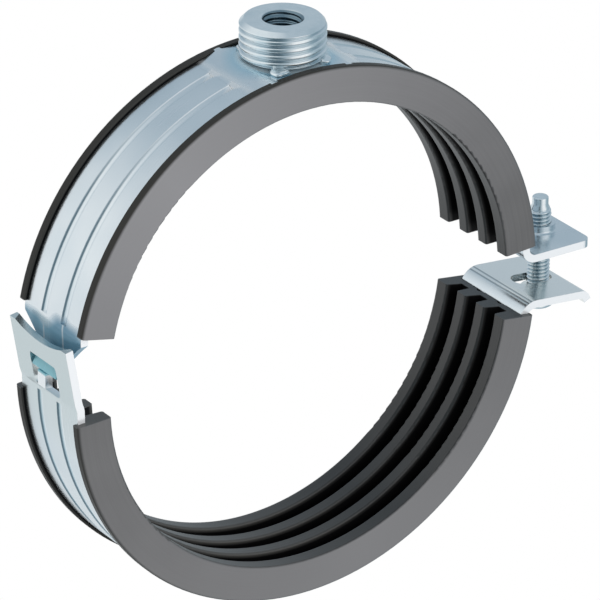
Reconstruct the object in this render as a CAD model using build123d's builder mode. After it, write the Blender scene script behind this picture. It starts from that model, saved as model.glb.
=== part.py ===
from build123d import *
import os
from math import asin, cos, degrees, radians, sin, sqrt

os.makedirs("parts", exist_ok=True)

# Rubber lined pipe clamp for a 4 inch pipe. Two half shells of pressed steel strip hang on each other by a
# tongue in a window and are drawn together by one screw through their ears.
# Frame, in mm: the pipe's axis is Y, the rod socket is on top (+Z) and the ears are at +X.

# ---- Strip and pipe ----
pipe_diameter = 114.3
tip_clearance = 0.15  # between the pipe and the relaxed rib tips
strip_thickness = 2.0
strip_width = 25.0
bead_spacing = 8.6  # between the two stiffening beads pressed into the strip
bead_width = 2.4
bead_depth = 0.7

# ---- Rubber lining ----
lining_width = 28.5
lining_depth = 6.2  # from the rib tips to the back that lies on the strip
lining_gap = 0.1
groove_depth = 4.3
groove_width = 4.3  # at the rib tips
groove_floor_width = 3.3
groove_pitch = 7.9
lip_thickness = 0.8
lip_reach = 0.7  # how far a lip reaches over the outside of the strip
lip_rounding = 0.9
rib_rounding = 0.6
upper_lining_start = 4.5  # degrees from the ears, counter-clockwise seen from the front
upper_lining_end = 168.0
lower_lining_start = 187.6
lower_lining_end = 357.5

# ---- Seat for the rod socket ----
crease_reach = 15.9  # from the middle to the crease where the seat begins
crease_lead = 1.2  # degrees of the round before the crease
seat_reach = 10.5
seat_rise = 0.1  # of the flat above the round of the strip
seat_bend_radius = 3.0

# ---- Ears ----
ear_bend_radius = 2.0  # on the inside of the upper ear's bend
lower_bend_radius = 3.0
ear_overrun = 0.2  # each ear's meeting face lies this far past the middle of its own half
ear_length = 19.1  # beyond the round of the strip
ear_corner_radius = 2.5
lip_bend_radius = 0.8  # turned-down end of the lower ear, on the inside of the bend
lip_bend_start = 16.8
lip_bend_angle = 60.0
lip_flat = 1.0

# ---- Closing screw and its collar ----
screw_offset = 12.2  # from the round of the strip to the screw's axis
screw_radius = 2.9
screw_tip_height = 10.5  # above the pipe's axis
screw_slack = 0.3  # in the slot, on each side
collar_slack = 0.05
collar_wall = 1.0
collar_height = 1.8
collar_foot_radius = 0.5
dog_radius = 2.05
dog_length = 2.1
dog_taper = 1.9
dog_rounding = 0.4
head_radius = 4.5
head_height = 5.0
head_rounding = 1.9
head_clearance = 0.65  # under the ear, which leans while the clamp is open
recess_width = 1.1
recess_span = 5.6
recess_depth = 1.9
slot_inward = 7.6  # from the screw's axis towards the pipe
slot_outward = 3.7

# ---- Rod socket ----
socket_radius = 20.955 / 2  # G 1/2
socket_height = 9.2
socket_chamfer = 1.2
socket_foot_chamfer = 0.5
rod_bore_radius = 8.5 / 2  # M10
rod_countersink = 0.9
weld_gap = 0.6
weld_radius = 1.6
weld_places = ((5.9, 7.9), (5.9, -7.9), (-5.9, 7.9), (-5.9, -7.9))

# ---- Hook of the upper half ----
hook_start_height = 13.4  # where the strip leaves the round
hook_lead = 1.0
hook_bend_radius = 4.0
tongue_root_inset = 1.5  # from the middle of the strip's round, inwards
tongue_root_height = 5.0
tongue_bend_radius = 2.5
tongue_length = 5.75
tongue_dip = 58.0
tongue_width = 10.4
tongue_step = 1.2
neck_width = 12.2
shoulder_top = 11.1
shoulder_mid = (8.4, 7.4)
shoulder_foot = 5.1
nose_width = 3.4
nose_shift = 1.0  # off the middle of the strip, to the back
nose_length = 3.9

# ---- Hinge plate of the lower half ----
plate_start_depth = 6.3  # below the middle of the half
plate_folds = ((2.0, 22.0), (14.5, 14.5))  # length and outward lean of each flat
plate_fold_radii = (2.0, 3.0)
plate_dip = 2.1
plate_dip_reach = 10.8
window_width = 11.6
window_bottom = -5.0
window_top = 4.3
window_corner_radius = 2.0
hinge_offset = 0.4  # outside the round of the strip
hinge_depth = 4.0
opening_angle = 4.7  # by which the lower half hangs open

# ---- Radii, heights and planes that follow ----
tip_radius = pipe_diameter / 2 + tip_clearance
back_radius = tip_radius + lining_depth
strip_inner_radius = back_radius + lining_gap
strip_outer_radius = strip_inner_radius + strip_thickness
strip_mid_radius = strip_inner_radius + strip_thickness / 2
bead_radius = (bead_depth**2 + (bead_width / 2) ** 2) / (2 * bead_depth)
bead_sides = (-bead_spacing / 2, bead_spacing / 2)
crease_angle = degrees(asin(sqrt(1 - (crease_reach / strip_outer_radius) ** 2)))
seat_angle = crease_angle - crease_lead
seat_height = strip_outer_radius + seat_rise
hook_angle = 180 - degrees(asin(hook_start_height / strip_mid_radius))
plate_angle = 180 + degrees(asin(plate_start_depth / strip_mid_radius))
ear_top = strip_thickness - ear_overrun
ear_middle = ear_top - strip_thickness / 2
ear_bend_height = ear_top + ear_bend_radius
ear_bend_x = sqrt((strip_outer_radius + ear_bend_radius) ** 2 - ear_bend_height**2)
ear_angle = degrees(asin(ear_bend_height / (strip_outer_radius + ear_bend_radius)))
lower_bend_height = ear_top + lower_bend_radius
lower_bend_x = sqrt((strip_outer_radius + lower_bend_radius) ** 2 - lower_bend_height**2)
lower_ear_angle = degrees(asin(lower_bend_height / (strip_outer_radius + lower_bend_radius)))
screw_x = strip_outer_radius + screw_offset

hinge_x = -(strip_outer_radius + hinge_offset)
hinge_z = -hinge_depth
swing_cos = cos(radians(opening_angle))
swing_sin = sin(radians(opening_angle))
lower_x = hinge_x - hinge_x * swing_cos - hinge_z * swing_sin
lower_z = hinge_z + hinge_x * swing_sin - hinge_z * swing_cos

# Side planes of the two halves: x towards the ears, y upwards, seen from the front.
upper_side = Plane.XZ
lower_side = Plane(origin=(lower_x, 0, lower_z), x_dir=(swing_cos, 0, -swing_sin), z_dir=(0, -1, 0))
# The lower half's plan, and its view from the ears.
lower_plan = Plane(origin=lower_side.origin, x_dir=lower_side.x_dir, z_dir=lower_side.y_dir)
lower_end = Plane(origin=lower_side.origin, x_dir=(0, 1, 0), z_dir=lower_side.x_dir)


def radial_plane(side, angle):
    """Plane through the pipe's axis of one half: x is the radius at the angle, y runs along the pipe."""
    radius = side.x_dir * cos(radians(angle)) + side.y_dir * sin(radians(angle))
    return Plane(origin=side.origin, x_dir=radius, z_dir=radius.cross(Vector(0, 1, 0)))


def pipe_axis(side):
    """Axis of one half, about which angles grow counter-clockwise seen from the front."""
    return Axis(side.origin, (0, -1, 0))


def on_round(angle):
    """Point of the middle of the strip on its round, in a half's side plane."""
    return Vector(strip_mid_radius * cos(radians(angle)), strip_mid_radius * sin(radians(angle)))


# ---- Side view of the folded strips, along the middle of their thickness ----
with BuildLine() as seat_path:
    seat_corner = (seat_reach, seat_height - strip_thickness / 2)
    FilletPolyline(
        on_round(180 - seat_angle), on_round(180 - crease_angle), (-seat_corner[0], seat_corner[1]),
        seat_corner, on_round(crease_angle), on_round(seat_angle),
        radius=seat_bend_radius,
    )

with BuildLine() as upper_ear_path:
    CenterArc(
        (ear_bend_x, ear_bend_height), ear_bend_radius + strip_thickness / 2, 180 + ear_angle, 90 - ear_angle
    )
    Line((ear_bend_x, ear_middle), (strip_outer_radius + ear_length, ear_middle))

with BuildLine() as lower_ear_path:
    CenterArc(
        (lower_bend_x, -lower_bend_height), lower_bend_radius + strip_thickness / 2,
        180 - lower_ear_angle, lower_ear_angle - 90,
    )
    ear_flat = Line((lower_bend_x, -ear_middle), (strip_outer_radius + lip_bend_start, -ear_middle))
    ear_turn = JernArc(ear_flat @ 1, (1, 0), lip_bend_radius + strip_thickness / 2, -lip_bend_angle)
    Line(ear_turn @ 1, ear_turn @ 1 + (ear_turn % 1) * lip_flat)

with BuildLine() as hook_path:
    hook_start = on_round(hook_angle)
    hook_heading = Vector(-sin(radians(hook_angle)), cos(radians(hook_angle)))
    tongue_root = Vector(tongue_root_inset - strip_mid_radius, tongue_root_height)
    tongue_run = Vector(-cos(radians(tongue_dip)), -sin(radians(tongue_dip))) * tongue_length
    FilletPolyline(
        hook_start, hook_start + hook_heading * hook_lead, tongue_root, tongue_root + tongue_run,
        radius=(hook_bend_radius, tongue_bend_radius),
    )

with BuildLine() as plate_path:
    plate_start = on_round(plate_angle)
    plate_heading = Vector(sin(radians(plate_angle)), -cos(radians(plate_angle)))
    plate_points = [plate_start, plate_start + plate_heading * strip_thickness / 2]
    for length, lean in plate_folds:
        plate_points.append(plate_points[-1] + Vector(-sin(radians(lean)), cos(radians(lean))) * length)
    FilletPolyline(*plate_points, radius=plate_fold_radii)

# ---- Cross-sections, with the radius along x and the pipe's axis along y ----
with BuildSketch() as strip_section:
    with Locations((strip_mid_radius, 0)):
        Rectangle(strip_thickness, strip_width)
    with Locations([(strip_inner_radius + bead_radius - bead_depth, side) for side in bead_sides]):
        Circle(bead_radius)
    with Locations([(strip_outer_radius + bead_radius - bead_depth, side) for side in bead_sides]):
        Circle(bead_radius, mode=Mode.SUBTRACT)

with BuildSketch() as lining_section:
    lip_radius = strip_outer_radius + lining_gap + lip_thickness
    with Locations(((tip_radius + lip_radius) / 2, 0)):
        Rectangle(lip_radius - tip_radius, lining_width)
    # The opening between the lips, and the room for the strip and its beads.
    with Locations((lip_radius, 0)):
        Rectangle(2 * (lip_radius - back_radius), strip_width - 2 * lip_reach, mode=Mode.SUBTRACT)
    with Locations((strip_mid_radius, 0)):
        Rectangle(strip_thickness + 2 * lining_gap, strip_width + 2 * lining_gap, mode=Mode.SUBTRACT)
    with Locations([(strip_inner_radius + bead_radius - bead_depth, side) for side in bead_sides]):
        Circle(bead_radius + lining_gap, mode=Mode.SUBTRACT)
    # Three grooves leave four ribs; the outer two are the side walls.
    for groove in (-groove_pitch, 0, groove_pitch):
        with BuildLine():
            Polyline(
                (tip_radius, groove - groove_width / 2),
                (tip_radius + groove_depth, groove - groove_floor_width / 2),
                (tip_radius + groove_depth, groove + groove_floor_width / 2),
                (tip_radius, groove + groove_width / 2),
                close=True,
            )
        make_face(mode=Mode.SUBTRACT)
    fillet(lining_section.vertices().group_by(Axis.X)[0], rib_rounding)
    lip_corners = lining_section.vertices().group_by(Axis.X)[-1].sort_by(Axis.Y)
    fillet((lip_corners[0], lip_corners[-1]), lip_rounding)

# ---- Upper half shell ----
with BuildPart() as upper_band:
    for start, end in ((ear_angle, seat_angle), (180 - seat_angle, hook_angle)):
        with BuildSketch(radial_plane(upper_side, start)):
            add(strip_section.sketch)
        revolve(axis=pipe_axis(upper_side), revolution_arc=end - start)
    with BuildSketch(upper_side):
        trace(seat_path.line, strip_thickness)
        trace(upper_ear_path.line, strip_thickness)
        trace(hook_path.line, strip_thickness)
    extrude(amount=strip_width / 2, both=True)
    # Rounded ear with the extruded collar that carries the screw's thread.
    fillet(upper_band.edges().filter_by(Axis.Z).group_by(Axis.X)[-1], ear_corner_radius)
    with BuildSketch(Plane.XY.offset(ear_top)):
        with Locations((screw_x, 0)):
            Circle(screw_radius + collar_slack + collar_wall)
    extrude(amount=collar_height)
    collar_foot = upper_band.edges().filter_by(GeomType.CIRCLE).filter_by_position(Axis.Z, ear_top, ear_top)
    fillet(collar_foot.sort_by(Axis.X)[-1], collar_foot_radius)
    with BuildSketch(Plane.XY.offset(-ear_overrun)):
        with Locations((screw_x, 0)):
            Circle(screw_radius + collar_slack)
    extrude(amount=strip_thickness + collar_height, mode=Mode.SUBTRACT)
    # Shoulders, neck and tongue: the strip is trimmed on both sides of the hook.
    with BuildSketch(Plane.YZ.offset(hinge_x - strip_thickness)):
        with BuildLine():
            Polyline(
                (neck_width / 2, shoulder_foot),
                (tongue_width / 2, shoulder_foot - tongue_step),
                (tongue_width / 2, -strip_thickness),
                (strip_width, -strip_thickness),
                (strip_width, shoulder_top),
                (strip_width / 2, shoulder_top),
            )
            ThreePointArc((strip_width / 2, shoulder_top), shoulder_mid, (neck_width / 2, shoulder_foot))
        make_face()
        mirror(about=Plane.YZ)
    extrude(amount=strip_outer_radius / 2, mode=Mode.SUBTRACT)
    # The nose at the tongue's tip reaches down inside the window.
    nose_top = hook_path.line @ 1
    with BuildSketch(upper_side.offset(-nose_shift)):
        with Locations((nose_top.X - strip_thickness / 2 * sin(radians(tongue_dip)), nose_top.Y)):
            Rectangle(strip_thickness, nose_length, align=(Align.MIN, Align.MAX))
    extrude(amount=nose_width / 2, both=True)
upper_band.part.label = "upper_band"
export_step(upper_band.part, "parts/upper_band.step")

# ---- Lower half shell ----
with BuildPart() as lower_band:
    with BuildSketch(radial_plane(lower_side, plate_angle)):
        add(strip_section.sketch)
    revolve(axis=pipe_axis(lower_side), revolution_arc=360 - lower_ear_angle - plate_angle)
    with BuildSketch(lower_side):
        trace(plate_path.line, strip_thickness)
        trace(lower_ear_path.line, strip_thickness)
    extrude(amount=strip_width / 2, both=True)
    # Window for the tongue, and the dip in the plate's top edge between its two rounded corners.
    window_middle = (window_bottom + window_top) / 2
    with BuildSketch(lower_end.offset(hinge_x - strip_thickness)):
        with Locations((0, window_middle)):
            RectangleRounded(window_width, window_top - window_bottom, window_corner_radius)
    extrude(amount=3 * strip_thickness, mode=Mode.SUBTRACT)
    plate_top = (plate_path.line @ 1).Y
    dip_radius = (plate_dip**2 + plate_dip_reach**2) / (2 * plate_dip)
    with BuildSketch(lower_end.offset(2 * hinge_x)):
        with Locations((0, plate_top + dip_radius - plate_dip)):
            Circle(dip_radius)
    extrude(amount=-hinge_x, mode=Mode.SUBTRACT)
    # Slot that lets the leaning ear slide along the screw.
    slot_half_width = screw_radius + screw_slack
    with BuildSketch(lower_plan.offset(-strip_thickness)):
        with Locations((screw_x + (slot_outward - slot_inward) / 2, 0)):
            SlotOverall(slot_inward + slot_outward, 2 * slot_half_width)
    extrude(amount=2 * strip_thickness, mode=Mode.SUBTRACT)
lower_band.part.label = "lower_band"
export_step(lower_band.part, "parts/lower_band.step")

# ---- Rubber linings ----
with BuildPart() as upper_lining:
    with BuildSketch(radial_plane(upper_side, upper_lining_start)):
        add(lining_section.sketch)
    revolve(axis=pipe_axis(upper_side), revolution_arc=upper_lining_end - upper_lining_start)
    # Room for the raised seat and for the strip where it turns in to the hook.
    with BuildSketch(upper_side):
        trace(seat_path.line, strip_thickness + 2 * lining_gap)
        trace(hook_path.line, strip_thickness + 2 * lining_gap)
    extrude(amount=strip_width / 2 + lining_gap, both=True, mode=Mode.SUBTRACT)
upper_lining.part.label = "upper_lining"
export_step(upper_lining.part, "parts/upper_lining.step")

with BuildPart() as lower_lining:
    with BuildSketch(radial_plane(lower_side, lower_lining_start)):
        add(lining_section.sketch)
    revolve(axis=pipe_axis(lower_side), revolution_arc=lower_lining_end - lower_lining_start)
    # Room for the bend of the ear.
    with BuildSketch(lower_side):
        trace(lower_ear_path.line, strip_thickness + 2 * lining_gap)
    extrude(amount=strip_width / 2 + lining_gap, both=True, mode=Mode.SUBTRACT)
lower_lining.part.label = "lower_lining"
export_step(lower_lining.part, "parts/lower_lining.step")

# ---- Rod socket ----
socket_foot = seat_height + weld_gap
with BuildPart() as rod_socket:
    with BuildSketch(Plane.XY.offset(socket_foot)):
        Circle(socket_radius)
        Circle(rod_bore_radius, mode=Mode.SUBTRACT)
    extrude(amount=socket_height)
    chamfer(rod_socket.edges().group_by(Axis.Z)[-1].sort_by(SortBy.RADIUS)[-1], socket_chamfer)
    chamfer(rod_socket.edges().group_by(Axis.Z)[0].sort_by(SortBy.RADIUS)[-1], socket_foot_chamfer)
    chamfer(rod_socket.edges().group_by(Axis.Z)[-1].sort_by(SortBy.RADIUS)[0], rod_countersink)
    # Weld nubs, melted between the socket and the seat.
    with BuildSketch(Plane.XY.offset(seat_height)):
        with Locations(*weld_places):
            Circle(weld_radius)
    extrude(amount=weld_gap + socket_foot_chamfer)
rod_socket.part.label = "rod_socket"
export_step(rod_socket.part, "parts/rod_socket.step")

# ---- Closing screw ----
ear_foot_run = (screw_x - lower_x + ear_top * swing_sin) / swing_cos
ear_foot_height = lower_z - ear_foot_run * swing_sin - ear_top * swing_cos
head_top = ear_foot_height - head_clearance
dog_start = screw_tip_height - dog_length
with BuildPart() as closing_screw:
    with BuildSketch(Plane((screw_x, 0, 0), x_dir=(1, 0, 0), z_dir=(0, -1, 0))):
        with BuildLine():
            Polyline(
                (0, head_top - head_height),
                (head_radius, head_top - head_height),
                (head_radius, head_top),
                (screw_radius, head_top),
                (screw_radius, dog_start - dog_taper),
                (dog_radius, dog_start),
                (dog_radius, screw_tip_height),
                (0, screw_tip_height),
                close=True,
            )
        make_face()
    revolve(axis=Axis((screw_x, 0, 0), (0, 0, 1)))
    fillet(closing_screw.edges().filter_by(GeomType.CIRCLE).group_by(Axis.Z)[0], head_rounding)
    fillet(closing_screw.edges().filter_by(GeomType.CIRCLE).group_by(Axis.Z)[-1], dog_rounding)
    with BuildSketch(Plane.XY.offset(head_top - head_height)):
        with Locations((screw_x, 0)):
            Rectangle(recess_span, recess_width)
            Rectangle(recess_width, recess_span)
    extrude(amount=recess_depth, mode=Mode.SUBTRACT)
closing_screw.part.label = "closing_screw"
export_step(closing_screw.part, "parts/closing_screw.step")
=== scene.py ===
from math import cos, pi, radians, sin

import bpy
import numpy as np
from mathutils import Matrix, Vector


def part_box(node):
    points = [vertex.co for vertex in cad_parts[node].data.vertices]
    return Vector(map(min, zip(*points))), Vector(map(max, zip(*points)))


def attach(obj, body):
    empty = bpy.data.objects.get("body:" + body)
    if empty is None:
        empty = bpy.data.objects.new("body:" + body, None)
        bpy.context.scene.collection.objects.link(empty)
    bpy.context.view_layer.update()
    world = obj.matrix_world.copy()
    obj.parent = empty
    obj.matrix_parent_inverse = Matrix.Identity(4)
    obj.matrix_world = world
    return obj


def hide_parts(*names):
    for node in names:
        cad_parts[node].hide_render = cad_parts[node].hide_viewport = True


# Rubber lined pipe clamp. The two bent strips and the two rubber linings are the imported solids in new
# materials. The rod socket and the closing screw are made again here with their cut threads.
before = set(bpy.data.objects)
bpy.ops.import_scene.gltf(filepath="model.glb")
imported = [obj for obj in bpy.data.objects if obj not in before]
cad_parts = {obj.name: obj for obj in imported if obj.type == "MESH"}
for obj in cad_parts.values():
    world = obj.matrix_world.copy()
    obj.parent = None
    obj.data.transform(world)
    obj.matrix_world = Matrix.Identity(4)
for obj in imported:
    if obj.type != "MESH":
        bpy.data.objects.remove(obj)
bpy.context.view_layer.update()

MM = 0.001

# ---- Sizes, in mm: the pipe's axis is Y, the socket is on top and the ears are at +X ----
HALF_STRIP = 12.5  # half the strip's width
STRIP_MIDDLE = 64.6  # radius
STRIP_OUTSIDE = 65.6  # radius
BEAD_PLACE = 4.3  # of each stiffening bead, from the middle of the strip
CREASE_PLACE = 15.7  # of the crease beside the flattened seat, from the middle
HALF_LINING = 14.25  # half the lining's width
RIB_TIPS = 57.3  # radius
HINGE = (-66.0, -4.0)  # x, z
OPENING_ANGLE = 4.7  # degrees by which the lower half hangs open

SOCKET_RADIUS = 20.955 / 2
SOCKET_FOOT = 66.3
SOCKET_TOP = 75.5
SOCKET_CHAMFER = 1.2
SOCKET_FOOT_CHAMFER = 0.5
SOCKET_PITCH = 1.814  # G 1/2
SOCKET_THREAD_DEPTH = 0.7
SOCKET_CREST = 2.4  # power of the groove's wave
BORE_RADIUS = 8.5 / 2
BORE_COUNTERSINK = 0.9
BORE_PITCH = 1.5  # M10
BORE_THREAD_DEPTH = 0.6
BORE_CREST = 1.4
SEAT_HEIGHT = 65.7
NUB_HEIGHT = 0.5  # of a nub's middle above the seat
NUB_RISE = 0.9
WELD_PLACES = ((5.9, 7.9, 1.5), (6.1, -7.9, 1.8), (-5.9, 7.9, 1.5), (-6.8, -8.5, 2.2))  # x, y, radius

SCREW_X = 77.8
SCREW_RADIUS = 2.9
SCREW_PITCH = 1.0  # M6
SCREW_THREAD_DEPTH = 0.62
SCREW_CREST = 0.75
SCREW_TIP = 10.5
DOG_RADIUS = 2.05
DOG_LENGTH = 2.1
DOG_TAPER = 1.9
SHANK_TOP = SCREW_TIP - DOG_LENGTH - DOG_TAPER
HEAD_RADIUS = 4.5
HEAD_HEIGHT = 5.0
HEAD_ROUNDING = 1.9
RECESS_WIDTH = 1.1
RECESS_SPAN = 5.6
RECESS_DEPTH = 1.9
RECESS_LEAN = 0.15
POLE = 0.02  # radius at which the screw's outline ends


# ---- Materials ----
def linear(code):
    """Linear colour of an sRGB hex code."""
    parts = [int(code[i:i + 2], 16) / 255 for i in (1, 3, 5)]
    return tuple(p / 12.92 if p <= 0.04045 else ((p + 0.055) / 1.055) ** 2.4 for p in parts) + (1.0,)


def add_node(tree, kind, links=None, **settings):
    """Adds a node: settings that are input names go to its sockets, the others to the node itself, and links
    maps an input to the output socket that feeds it."""
    made = tree.nodes.new(kind)
    for name, value in settings.items():
        if hasattr(made, name):
            setattr(made, name, value)
        else:
            made.inputs[name.replace("_", " ")].default_value = value
    for place, source in (links or {}).items():
        tree.links.new(source, made.inputs[place])
    return made


def ramp(tree, source, stops):
    """A colour ramp through (place, hex) stops."""
    made = add_node(tree, "ShaderNodeValToRGB", {0: source})
    points = made.color_ramp.elements
    for (place, code), point in zip(stops, [points[0], points[1]] + [points.new(0.5) for _ in stops[2:]]):
        point.position = place
        point.color = linear(code)
    return made.outputs["Color"]


def combine(tree, operation, *sources):
    """One value made from two sockets or numbers."""
    made = add_node(tree, "ShaderNodeMath", operation=operation)
    for index, source in enumerate(sources):
        if isinstance(source, (int, float)):
            made.inputs[index].default_value = source
        else:
            tree.links.new(source, made.inputs[index])
    return made.outputs[0]


def times(tree, first, second):
    """Product of the two."""
    return combine(tree, "MULTIPLY", first, second)


def larger(tree, first, second):
    """The larger of the two."""
    return combine(tree, "MAXIMUM", first, second)


def less(tree, first, second):
    """The first less the second."""
    return combine(tree, "SUBTRACT", first, second)


def away_from(tree, source, middle):
    """Distance from the middle, on either side."""
    return combine(tree, "ABSOLUTE", less(tree, source, middle))


def length(tree, first, second):
    """Length of the vector that the two make."""
    flat = add_node(tree, "ShaderNodeCombineXYZ", {0: first, 1: second}).outputs[0]
    return add_node(tree, "ShaderNodeVectorMath", {0: flat}, operation="LENGTH").outputs["Value"]


def between(tree, source, low, high, to_low=0.0, to_high=1.0):
    """Maps source from low..high to to_low..to_high, held at the ends."""
    made = add_node(tree, "ShaderNodeMapRange", {0: source})
    for index, value in enumerate((low, high, to_low, to_high), 1):
        made.inputs[index].default_value = value
    return made.outputs[0]


def fade(tree, source, none, full):
    """Zero at one place and one at the other, in mm, and held beyond both."""
    return between(tree, source, none * MM, full * MM)


def near(tree, source, middle, reach, soft):
    """One within the reach of the middle, in mm, falling softly to zero beyond it."""
    return fade(tree, away_from(tree, source, middle * MM), reach + soft, reach)


def mix_colour(tree, share, first, second):
    """Mixes two colours; each is a hex code or a socket."""
    made = add_node(tree, "ShaderNodeMix", {0: share}, data_type="RGBA")
    for index, value in ((6, first), (7, second)):
        if isinstance(value, str):
            made.inputs[index].default_value = linear(value)
        else:
            tree.links.new(value, made.inputs[index])
    return made.outputs[2]


def noise(tree, place, scale, stretch=(1, 1, 1), detail=3.0):
    """Noise with cells of 1/scale metres, drawn out by the stretch."""
    spot = add_node(tree, "ShaderNodeMapping", {"Vector": place}, Scale=stretch).outputs[0]
    made = add_node(tree, "ShaderNodeTexNoise", {"Vector": spot}, Scale=scale, Detail=detail, Roughness=0.55)
    return made.outputs["Fac"]


def cloudy(tree, cloud, first, second):
    """Two colours in soft patches."""
    return mix_colour(tree, between(tree, cloud, 0.3, 0.7), first, second)


def centred(tree, place, x, z):
    """The object's x, y and z, counted from a centre in mm."""
    own = add_node(tree, "ShaderNodeMapping", {"Vector": place}, Location=(-x * MM, 0, -z * MM)).outputs[0]
    parts = add_node(tree, "ShaderNodeSeparateXYZ", {0: own})
    return [parts.outputs[axis] for axis in "XYZ"]


def round_the_pipe(tree, x, y, z):
    """The angle from the ears, the radius, and a vector of arc length, y and radius, in metres."""
    angle = combine(tree, "ARCTAN2", z, x)
    radius = length(tree, x, z)
    arc = times(tree, angle, STRIP_MIDDLE * MM)
    strip = add_node(tree, "ShaderNodeCombineXYZ", {0: arc, 1: y, 2: radius}).outputs[0]
    return angle, radius, strip


def start_material(name):
    """A new material with its tree, its Principled shader and the object's coordinates."""
    made = bpy.data.materials.new(name)
    made.use_nodes = True
    tree = made.node_tree
    place = add_node(tree, "ShaderNodeTexCoord").outputs["Object"]
    return made, tree, tree.nodes["Principled BSDF"], place


def finish_material(tree, shader, height, strength, distance, **sources):
    """Feeds the shader's inputs, and its normal from a height with a bump of a depth in mm."""
    bump = add_node(tree, "ShaderNodeBump", {"Height": height}, Strength=strength, Distance=distance * MM)
    tree.links.new(bump.outputs[0], shader.inputs["Normal"])
    for name, source in sources.items():
        tree.links.new(source, shader.inputs[name.replace("_", " ")])


def hook_painted_light(tree, x, y, z, cloud, tint):
    """Upper half, painted light and shade: painted shade tinted by a painted blue reflection on the neck, a
    painted teal reflection on the tongue, a painted highlight on its nose, and a painted blue shadow round
    the foot of the welded socket, with painted light that lifts the shade right under it. The seat's creases,
    the beads' ends beside them and the beads' lines on the neck get painted highlights. Returns the tint, the
    height of pressed lines (none here) and the share of matt surface."""
    on_hook = fade(tree, x, -54, -57)
    beside_bead = away_from(tree, combine(tree, "ABSOLUTE", y), BEAD_PLACE * MM)
    edge = combine(tree, "ADD", z, between(tree, cloud, 0.3, 0.7, -2.5 * MM, 2.5 * MM))
    # Painted shade on the neck below the lining, tinted by a painted blue reflection.
    neck = times(tree, on_hook, fade(tree, edge, 14.5, 12))
    blue = mix_colour(tree, between(tree, cloud, 0.35, 0.65), "#6493ae", "#88b8d0")
    tint = mix_colour(tree, neck, tint, blue)
    # Painted highlights along the beads' edges on the neck.
    tint = mix_colour(tree, times(tree, neck, fade(tree, beside_bead, 0.45, 0.15)), tint, "#c4d6e0")
    # Painted teal reflection on the tongue.
    tint = mix_colour(tree, times(tree, on_hook, fade(tree, z, 4.6, 4.0)), tint, "#96d2df")
    # Painted highlight on the tongue's nose.
    nose = times(tree, on_hook, fade(tree, z, -0.2, -0.6))
    tint = mix_colour(tree, nose, tint, "#f2f5f7")

    on_top = fade(tree, z, 55, 60)
    reach = length(tree, x, y)
    # Painted blue shadow round the foot of the welded socket.
    tint = mix_colour(tree, times(tree, fade(tree, reach, 15, 11), on_top), tint, "#b4d6e4")
    aside = combine(tree, "ABSOLUTE", x)
    # Painted highlights on the seat's creases and on the beads' ends beside them.
    crease = times(tree, near(tree, aside, CREASE_PLACE, 0.1, 1.2), 0.4)
    bead_end = combine(tree, "ADD", times(tree, beside_bead, 1.4), aside)
    bead_end = times(tree, fade(tree, bead_end, CREASE_PLACE + 4.5, CREASE_PLACE + 2.9),
                     fade(tree, aside, CREASE_PLACE - 0.1, CREASE_PLACE + 0.2))
    crease_highlight = times(tree, larger(tree, crease, times(tree, bead_end, 0.7)), on_top)
    tint = mix_colour(tree, crease_highlight, tint, "#f2f5f7")
    # Painted light that lifts the shadow right under the socket.
    under_socket = times(tree, fade(tree, reach, 12, 10.5), on_top)
    tint = mix_colour(tree, under_socket, tint, "#cfe4ee")

    matt = larger(tree, times(tree, less(tree, neck, nose), 0.8), times(tree, under_socket, 0.7))
    return tint, None, larger(tree, matt, times(tree, crease_highlight, 0.6))


def ear_marks(tree, x, y, z, cloud, tint):
    """Lower half: the ear is a little paler and the hinge plate a little darker, and two fine pressing lines
    follow
    the bend of the ear: a bump presses them in, and their dark colour is a painted reflection of the dark in
    the bend.
    Returns the tint, the height of these lines and the share of matt surface (none here)."""
    tint = mix_colour(tree, fade(tree, x, 64, 67), tint, "#fbfaf7")
    tint = mix_colour(tree, fade(tree, x, -64, -66), tint, "#d3dcdd")
    # The lines' height is the pressed bump; their dark colour is a painted reflection.
    lines = larger(tree, near(tree, x, 65.7, 0.08, 0.25), near(tree, x, 66.7, 0.08, 0.25))
    return mix_colour(tree, times(tree, lines, 0.7), tint, "#74858e"), lines, None


def zinc_strip(name, centre, marks_and_painted_light):
    """Zinc-plated cold-rolled strip: bright, faintly blue from its passivation, with fine rolling lines that
    run along the strip, soft cloudy patches and pale, matt cut edges."""
    made, tree, shader, place = start_material(name)
    x, y, z = centred(tree, place, *centre)
    strip = round_the_pipe(tree, x, y, z)[-1]
    clouds = noise(tree, place, 60, detail=2.0)
    lines = noise(tree, strip, 400, (0.04, 5.0, 0.04))
    # The marks add painted light and shade on the upper half, and the ear's tones and pressing lines on the
    # lower half.
    tint, pressed, matt = marks_and_painted_light(tree, x, y, z, clouds, cloudy(tree, clouds, "#dde5ea", "#e9eef1"))
    cut = near(tree, combine(tree, "ABSOLUTE", y), HALF_STRIP, 0.06, 0.04)
    bare = times(tree, cut, 0.6)
    if matt:
        bare = larger(tree, bare, matt)
    height = times(tree, lines, 0.03)
    if pressed:
        height = less(tree, height, times(tree, pressed, less(tree, 1.0, cut)))
    finish_material(tree, shader, height, 0.3, 0.3,
                    Base_Color=mix_colour(tree, cut, tint, "#eceff2"),
                    Metallic=less(tree, 1.0, bare),
                    Roughness=between(tree, lines, 0.2, 0.8, 0.17, 0.3))
    return made


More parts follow.
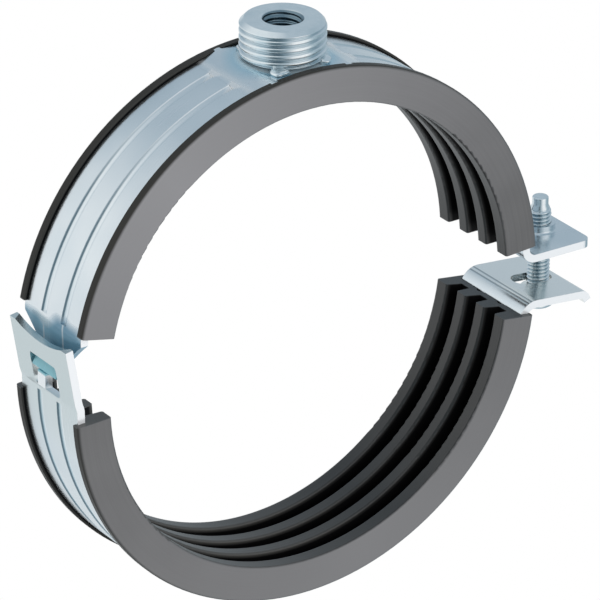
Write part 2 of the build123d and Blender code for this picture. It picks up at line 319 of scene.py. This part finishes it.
def zinc_turned(name, axis_x, crest, thread_end, root_shade_colour):
    """Zinc-plated turned steel: bright, with faint rings round the axis from the lathe. Painted shade darkens
    the roots of the thread, which has its crest at a radius and ends at a height, and it is darker in the
    bore."""
    made, tree, shader, place = start_material(name)
    x, y, z = centred(tree, place, axis_x, 0)
    reach = length(tree, x, y)
    rings = add_node(tree, "ShaderNodeCombineXYZ", {0: reach, 2: z}).outputs[0]
    lines = noise(tree, rings, 3000)
    tint = cloudy(tree, noise(tree, place, 250, detail=2.0), "#e0e9ed", "#eef3f5")
    # Painted shade in the roots of the thread.
    root = times(tree, fade(tree, reach, crest - 0.25, crest - 0.6), near(tree, reach, crest, 0.75, 0.02))
    root = times(tree, root, fade(tree, z, thread_end, thread_end - 0.2))
    tint = mix_colour(tree, root, tint, root_shade_colour)
    # Darker in the bore.
    bore = times(tree, fade(tree, reach, 5.1, 4.9), fade(tree, z, 50, 60))
    shader.inputs["Metallic"].default_value = 1.0
    finish_material(tree, shader, lines, 0.05, 0.05,
                    Base_Color=mix_colour(tree, bore, tint, "#7c919c"),
                    Roughness=between(tree, lines, 0.2, 0.8, 0.18, 0.28))
    return made


def extruded_rubber(name, centre, first_angle, last_angle, highlight_angle, highlight_colour):
    """Extruded EPDM rubber: dark and satin, with draw lines along the extrusion, flat side faces painted
    paler for the light that falls on them from the front, with a painted highlight thickest at the
    highlight's angle, darker lips, ribs painted lighter where the light falls on them at the bottom of the
    clamp, and painted shade that keeps the grooves nearly black. Its ends are at the first and the last
    angle, in degrees."""
    made, tree, shader, place = start_material(name)
    x, y, z = centred(tree, place, *centre)
    angle, radius, strip = round_the_pipe(tree, x, y, z)
    lines = noise(tree, strip, 300, (0.05, 9.0, 9.0), detail=4.0)
    clouds = noise(tree, place, 60, detail=2.0)
    side = fade(tree, combine(tree, "ABSOLUTE", y), HALF_LINING - 0.45, HALF_LINING - 0.05)

    off_middle = away_from(tree, angle, radians((first_angle + last_angle) / 2))
    span = radians((last_angle - first_angle) / 2)
    inside = times(tree, between(tree, off_middle, span - 0.002, span - 0.004), less(tree, 1.0, side))
    # Painted shade that keeps the grooves between the ribs nearly black.
    groove = times(tree, fade(tree, radius, RIB_TIPS + 0.4, RIB_TIPS + 1.3), inside)
    body = cloudy(tree, clouds, "#232323", "#2c2c2c")
    # Painted light: the ribs are lighter at the bottom of the clamp, where the light falls on them.
    body = mix_colour(tree, between(tree, angle, radians(-65), radians(-105)), body, "#4a4947")
    body = mix_colour(tree, groove, body, "#0c0c0d")
    body = mix_colour(tree, fade(tree, radius, STRIP_OUTSIDE + 0.3, STRIP_OUTSIDE + 0.5), body, "#3a3a38")

    streaks = times(tree, combine(tree, "ADD", lines, clouds), 0.5)
    # Painted light: the side faces are paler for the light from the front, with a painted highlight round the
    # highlight's angle.
    face = mix_colour(tree, between(tree, streaks, 0.35, 0.65), "#525253", "#5e5e5f")
    off_highlight = away_from(tree, angle, radians(highlight_angle))
    face = mix_colour(tree, between(tree, off_highlight, 2.1, 0.0, 0.0, 0.9), face, highlight_colour)
    finish_material(tree, shader, lines, 0.25, 0.1,
                    Base_Color=mix_colour(tree, side, body, face),
                    Roughness=between(tree, lines, 0.2, 0.8, 0.3, 0.44),
                    Specular_IOR_Level=between(tree, groove, 0, 1, 0.6, 0.1))
    return made


# ---- New pieces ----
def rounded_outline(corners, steps=5):
    """Points of an outline (x, y, rounding): each corner is replaced by the arc that touches both its sides
    at the rounding's tangent length. Returns an array of points."""
    points = []
    for (x0, y0, _), (x1, y1, radius), (x2, y2, _) in zip([corners[0]] + corners[:-1], corners,
                                                         corners[1:] + [corners[-1]]):
        here = np.array((x1, y1))
        back = np.array((x0, y0)) - here
        ahead = np.array((x2, y2)) - here
        if radius == 0 or not back.any() or not ahead.any():
            points.append(here)
            continue
        back /= np.linalg.norm(back)
        ahead /= np.linalg.norm(ahead)
        half = np.arccos(np.clip(back @ ahead, -1, 1)) / 2
        tangent = radius / np.tan(half)
        middle = here + (back + ahead) / np.linalg.norm(back + ahead) * radius / np.sin(half)
        first = here + back * tangent - middle
        last = here + ahead * tangent - middle
        start = np.arctan2(first[1], first[0])
        turn = (np.arctan2(last[1], last[0]) - start + pi) % (2 * pi) - pi
        angle = start + turn * np.linspace(0, 1, steps)
        points += list(middle + radius * np.stack((np.cos(angle), np.sin(angle)), 1))
    return np.array(points)


def fine(points, step):
    """The same outline with points no further apart than the step."""
    gaps = np.linalg.norm(np.diff(points, axis=0), axis=1)
    counts = np.maximum(1, np.ceil(gaps / step).astype(int))
    parts = [a + (b - a) * np.linspace(0, 1, n, endpoint=False)[:, None]
             for a, b, n in zip(points[:-1], points[1:], counts)]
    return np.concatenate(parts + [points[-1:]])


def thread_groove(height, angle, pitch, power):
    """Share of the thread's depth at a height and an angle: a groove that climbs one pitch a turn, half of
    one minus the cosine. A power over one leaves broad crests, and one under it sharp crests."""
    phase = height / pitch - angle / (2 * pi)
    return (0.5 - 0.5 * np.cos(2 * pi * phase)) ** power


def turned(outline, columns):
    """An outline of (radius, height) points turned round its axis, as arrays of radius, height and angle over
    (row, column)."""
    radius = np.repeat(outline[:, :1], columns, 1)
    height = np.repeat(outline[:, 1:], columns, 1)
    angle = np.repeat(np.linspace(0, 2 * pi, columns, endpoint=False)[None, :], len(outline), 0)
    return radius, height, angle


def turned_mesh(name, centre_x, radius, height, angle, closed):
    """Mesh of a turned surface from its radius, height and angle over (row, column). A closed surface joins
    its last row to its first; an open one ends in a pole at each end."""
    rows, columns = radius.shape
    points = np.stack((centre_x + radius * np.cos(angle), radius * np.sin(angle), height), -1) * MM
    index = np.arange(rows * columns).reshape(rows, columns)
    following = np.roll(index, -1, 1)
    above = np.roll(index, -1, 0) if closed else index[1:]
    below = index if closed else index[:-1]
    right_above = np.roll(following, -1, 0) if closed else following[1:]
    right_below = following if closed else following[:-1]
    faces = np.stack((below, right_below, right_above, above), -1).reshape(-1, 4).tolist()
    vertices = points.reshape(-1, 3).tolist()
    if not closed:
        low, high = len(vertices), len(vertices) + 1
        vertices += [points[0].mean(0).tolist(), points[-1].mean(0).tolist()]
        faces += [(low, b, a) for a, b in zip(index[0], following[0])]
        faces += [(high, a, b) for a, b in zip(index[-1], following[-1])]
    mesh = bpy.data.meshes.new(name)
    mesh.from_pydata(vertices, [], [tuple(int(i) for i in face) for face in faces])
    return mesh


def finish_piece(name, mesh, material, body, slot, *nodes):
    """Smooths the mesh, makes it an object, hangs it on the body it rides on and hides the imported nodes
    that it replaces.
    """
    mesh.validate()
    mesh.shade_smooth()
    piece = bpy.data.objects.new(name, mesh)
    bpy.context.scene.collection.objects.link(piece)
    mesh.materials.append(material)
    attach(piece, body)
    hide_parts(*nodes)


def threaded_socket():
    """The socket's outline is turned round Z. Outside, the radius is the smaller of the outline's and that of
    the G 1/2 thread; in the bore, the M10 thread adds its depth to the outline's radius."""
    outline = rounded_outline([
        (BORE_RADIUS, SOCKET_FOOT, 0),
        (SOCKET_RADIUS - SOCKET_FOOT_CHAMFER, SOCKET_FOOT, 0.15),
        (SOCKET_RADIUS, SOCKET_FOOT + SOCKET_FOOT_CHAMFER, 0.15),
        (SOCKET_RADIUS, SOCKET_TOP - SOCKET_CHAMFER, 0.25),
        (SOCKET_RADIUS - SOCKET_CHAMFER, SOCKET_TOP, 0.25),
        (BORE_RADIUS + BORE_COUNTERSINK, SOCKET_TOP, 0.2),
        (BORE_RADIUS, SOCKET_TOP - BORE_COUNTERSINK, 0),
        (BORE_RADIUS, SOCKET_FOOT, 0),
    ])
    radius, height, angle = turned(fine(outline, step=0.12)[:-1], columns=128)
    cut = SOCKET_RADIUS - SOCKET_THREAD_DEPTH * thread_groove(
        height - SOCKET_FOOT, angle, SOCKET_PITCH, SOCKET_CREST)
    outside = radius > SOCKET_RADIUS - SOCKET_THREAD_DEPTH
    radius = np.where(outside, np.minimum(radius, cut), radius)
    inner_cut = BORE_RADIUS + BORE_THREAD_DEPTH * (
        1 - thread_groove(height, -angle + pi, -BORE_PITCH, BORE_CREST))
    in_bore = (radius < BORE_RADIUS + BORE_THREAD_DEPTH) & (height > SOCKET_FOOT) & (height < SOCKET_TOP)
    radius = np.where(in_bore, np.maximum(radius, inner_cut), radius)
    return turned_mesh("threaded_socket", 0, radius, height, angle, closed=True)


def weld_nubs():
    """Each nub is a sphere drawn flat on the seat. Its radius is waved by two sines round it, and a cosine
    draws it out towards the edge of the seat, where the melt ran."""
    around = np.linspace(0, 2 * pi, 36, endpoint=False)[None, :]
    up = np.linspace(-pi / 2, pi / 2, 19)[1:-1, None]
    meshes = []
    for number, (x, y, size) in enumerate(WELD_PLACES):
        outwards = np.arctan2(2 * y, x)
        wave = 1 + 0.08 * np.sin(3 * around + number) + 0.06 * np.sin(5 * around + 2.0 * number)
        wave += 0.2 * np.clip(np.cos(around - outwards), 0, 1)
        reach = size * np.cos(up) * wave
        height = SEAT_HEIGHT + NUB_HEIGHT + NUB_RISE * np.sin(up) + 0 * around
        meshes.append(turned_mesh("nub", 0, reach, height, around + 0 * up, closed=False))
        meshes[-1].transform(Matrix.Translation((x * MM, y * MM, 0)))
    return meshes


def threaded_screw():
    """The screw's outline is turned round its own axis. On the shank the M6 groove is cut into the radius,
    and under the head a cross of two slots is pressed in."""
    head_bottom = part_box("closing_screw")[0].z / MM
    head_top = head_bottom + HEAD_HEIGHT
    dog_start = SCREW_TIP - DOG_LENGTH
    outline = rounded_outline([
        (POLE, head_bottom, 0),
        (HEAD_RADIUS, head_bottom, HEAD_ROUNDING),
        (HEAD_RADIUS, head_top, 0.25),
        (SCREW_RADIUS, head_top, 0),
        (SCREW_RADIUS, SHANK_TOP, 0.2),
        (DOG_RADIUS, dog_start, 0.2),
        (DOG_RADIUS, SCREW_TIP, 0.4),
        (POLE, SCREW_TIP, 0),
    ], steps=7)
    radius, height, angle = turned(fine(outline, step=0.085), columns=96)
    shank = (height > head_top + 0.05) & (height < dog_start)
    cut = SCREW_RADIUS - SCREW_THREAD_DEPTH * thread_groove(height, angle, SCREW_PITCH, SCREW_CREST)
    radius = np.where(shank, np.minimum(radius, cut), radius)
    # The cross recess, with walls that lean.
    x = radius * np.cos(angle)
    y = radius * np.sin(angle)
    arm_x = np.minimum(RECESS_WIDTH / 2 - np.abs(y), RECESS_SPAN / 2 - np.abs(x))
    arm_y = np.minimum(RECESS_WIDTH / 2 - np.abs(x), RECESS_SPAN / 2 - np.abs(y))
    pressed = np.clip(np.maximum(arm_x, arm_y) / RECESS_LEAN, 0, 1) * RECESS_DEPTH
    height = np.where(height < head_bottom + 0.3, height + pressed, height)
    return turned_mesh("threaded_screw", SCREW_X, radius, height, angle, closed=False)


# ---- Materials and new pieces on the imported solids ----
# Centres (x, z) of the two halves: the lower one's has swung round the hinge by the opening angle.
OPENING = radians(OPENING_ANGLE)
UPPER_CENTRE = (0, 0)
LOWER_CENTRE = (HINGE[0] - HINGE[0] * cos(OPENING) - HINGE[1] * sin(OPENING),
                HINGE[1] + HINGE[0] * sin(OPENING) - HINGE[1] * cos(OPENING))
LOWER_ENDS = (-172.4 - OPENING_ANGLE, -2.5 - OPENING_ANGLE)  # degrees

for name, material in (
        ("upper_band", zinc_strip("zinc_plated_upper_strip", UPPER_CENTRE, hook_painted_light)),
        ("lower_band", zinc_strip("zinc_plated_lower_strip", LOWER_CENTRE, ear_marks)),
        # Each lining's last two values are the angle and the colour of the painted highlight on its side
        # faces.
        ("upper_lining", extruded_rubber("epdm_upper_lining", UPPER_CENTRE, 4.5, 168, 130, "#858588")),
        ("lower_lining", extruded_rubber("epdm_lower_lining", LOWER_CENTRE, *LOWER_ENDS, -75, "#737375"))):
    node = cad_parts[name]
    node.data.materials.clear()
    node.data.materials.append(material)

# Each last colour is the painted shade in the roots of its thread.
socket_zinc = zinc_turned("zinc_plated_socket", 0, SOCKET_RADIUS, SOCKET_TOP - SOCKET_CHAMFER, "#c6d3da")
screw_zinc = zinc_turned("zinc_plated_screw", SCREW_X, SCREW_RADIUS, SHANK_TOP, "#8ba3ae")
finish_piece("threaded_socket", threaded_socket(), socket_zinc, "upper_half", "turned_steel", "rod_socket")
for count, nub in enumerate(weld_nubs(), 1):
    finish_piece(f"weld_nub_{count}", nub, socket_zinc, "upper_half", "turned_steel", "rod_socket")
finish_piece("threaded_screw", threaded_screw(), screw_zinc, "screw", "turned_steel", "closing_screw")


# ---- Light and camera: the clamp hangs free in a white room ----
SOFT_LIGHT = 0.55
KEY_PLACE = (-100, -1150, 300)
KEY_SIZE = 700
KEY_POWER = 9

CAMERA_AZIMUTH = -34.101
CAMERA_ELEVATION = 25.472
CAMERA_ROLL = 0.525
CAMERA_DISTANCE = 1220.57
FOCAL_PIXELS = 5049.07
OPTICAL_CENTRE = (280.38, 306.94)
FRAME_PIXELS = 600
SENSOR = 36.0


def mirrored_room(tree):
    """What metal mirrors: a pale floor and a pale wall on the left, a grey-blue ceiling and right side, and,
    low in front, a dark gap beside a bright card. The ramp runs once round the horizon."""
    direction = add_node(tree, "ShaderNodeTexCoord").outputs["Generated"]
    parts = add_node(tree, "ShaderNodeSeparateXYZ", {0: direction})
    across, depth, height = (parts.outputs[axis] for axis in "XYZ")
    angle = combine(tree, "ARCTAN2", across, depth)
    low_ring = ramp(tree, between(tree, angle, -pi, pi), [
        (0.0, "#ffffff"), (0.03, "#ffffff"), (0.08, "#8fa3ad"), (0.12, "#566c77"), (0.18, "#607883"),
        (0.24, "#c6dae3"), (0.36, "#f8fafb"), (0.44, "#e3e9ec"), (0.55, "#e3e9ec"), (0.65, "#b0bfc7"),
        (0.8, "#8fa6b1"), (0.87, "#b4c6cf"), (0.91, "#ffffff"), (1.0, "#ffffff")])
    ceiling = mix_colour(tree, between(tree, across, -0.1, -0.65), "#b0bfca", "#f8fbfc")
    in_front = times(tree, between(tree, depth, -0.1, -0.4), between(tree, height, 0.8, 0.5))
    return mix_colour(tree, larger(tree, between(tree, height, 0.1, -0.15), in_front), ceiling, low_ring)


def studio_world():
    """The camera sees plain white, metal mirrors the room, and matt surfaces get an even, soft light."""
    world = bpy.data.worlds.new("studio")
    bpy.context.scene.world = world
    world.use_nodes = True
    tree = world.node_tree
    tree.nodes.clear()
    path = add_node(tree, "ShaderNodeLightPath").outputs
    mirrored = larger(tree, path["Is Glossy Ray"], path["Is Transmission Ray"])
    soft = add_node(tree, "ShaderNodeBackground", Color=linear("#ffffff"), Strength=SOFT_LIGHT).outputs[0]
    room = add_node(tree, "ShaderNodeBackground", {"Color": mirrored_room(tree)}, Strength=1.0).outputs[0]
    white = add_node(tree, "ShaderNodeBackground", Color=linear("#ffffff"), Strength=1.0).outputs[0]
    unseen = add_node(tree, "ShaderNodeMixShader", {0: mirrored, 1: soft, 2: room}).outputs[0]
    shown = add_node(tree, "ShaderNodeMixShader", {0: path["Is Camera Ray"], 1: unseen, 2: white}).outputs[0]
    add_node(tree, "ShaderNodeOutputWorld", {"Surface": shown})


def key_lamp():
    """A square soft lamp in front of the clamp, aimed at the pipe's centre and not mirrored by metal."""
    data = bpy.data.lights.new("key_lamp", "AREA")
    data.shape = "SQUARE"
    data.size = KEY_SIZE * MM
    data.energy = KEY_POWER
    lamp = bpy.data.objects.new("key_lamp", data)
    lamp.visible_glossy = False
    bpy.context.scene.collection.objects.link(lamp)
    lamp.location = Vector(KEY_PLACE) * MM
    lamp.rotation_euler = (-lamp.location).to_track_quat("-Z", "Y").to_euler()


def long_lens_camera():
    """A long lens aimed at the pipe's centre and rolled by half a degree, its frame shifted to the clamp."""
    azimuth, elevation, roll = (radians(a) for a in (CAMERA_AZIMUTH, CAMERA_ELEVATION, CAMERA_ROLL))
    back = Vector((sin(azimuth) * cos(elevation), -cos(azimuth) * cos(elevation), sin(elevation)))
    across = Vector((cos(azimuth), sin(azimuth), 0))
    up = back.cross(across)
    right = across * cos(roll) + up * sin(roll)
    top = up * cos(roll) - across * sin(roll)
    data = bpy.data.cameras.new("camera")
    data.sensor_width = SENSOR
    data.lens = FOCAL_PIXELS / FRAME_PIXELS * SENSOR
    data.shift_x = 0.5 - OPTICAL_CENTRE[0] / FRAME_PIXELS
    data.shift_y = OPTICAL_CENTRE[1] / FRAME_PIXELS - 0.5
    data.clip_start = 0.05
    data.clip_end = 20
    camera = bpy.data.objects.new("camera", data)
    bpy.context.scene.collection.objects.link(camera)
    turn = Matrix((right, top, back)).transposed().to_4x4()
    camera.matrix_world = Matrix.Translation(back * CAMERA_DISTANCE * MM) @ turn
    bpy.context.scene.camera = camera


studio_world()
key_lamp()
long_lens_camera()
bpy.context.scene.view_settings.view_transform = "Standard"
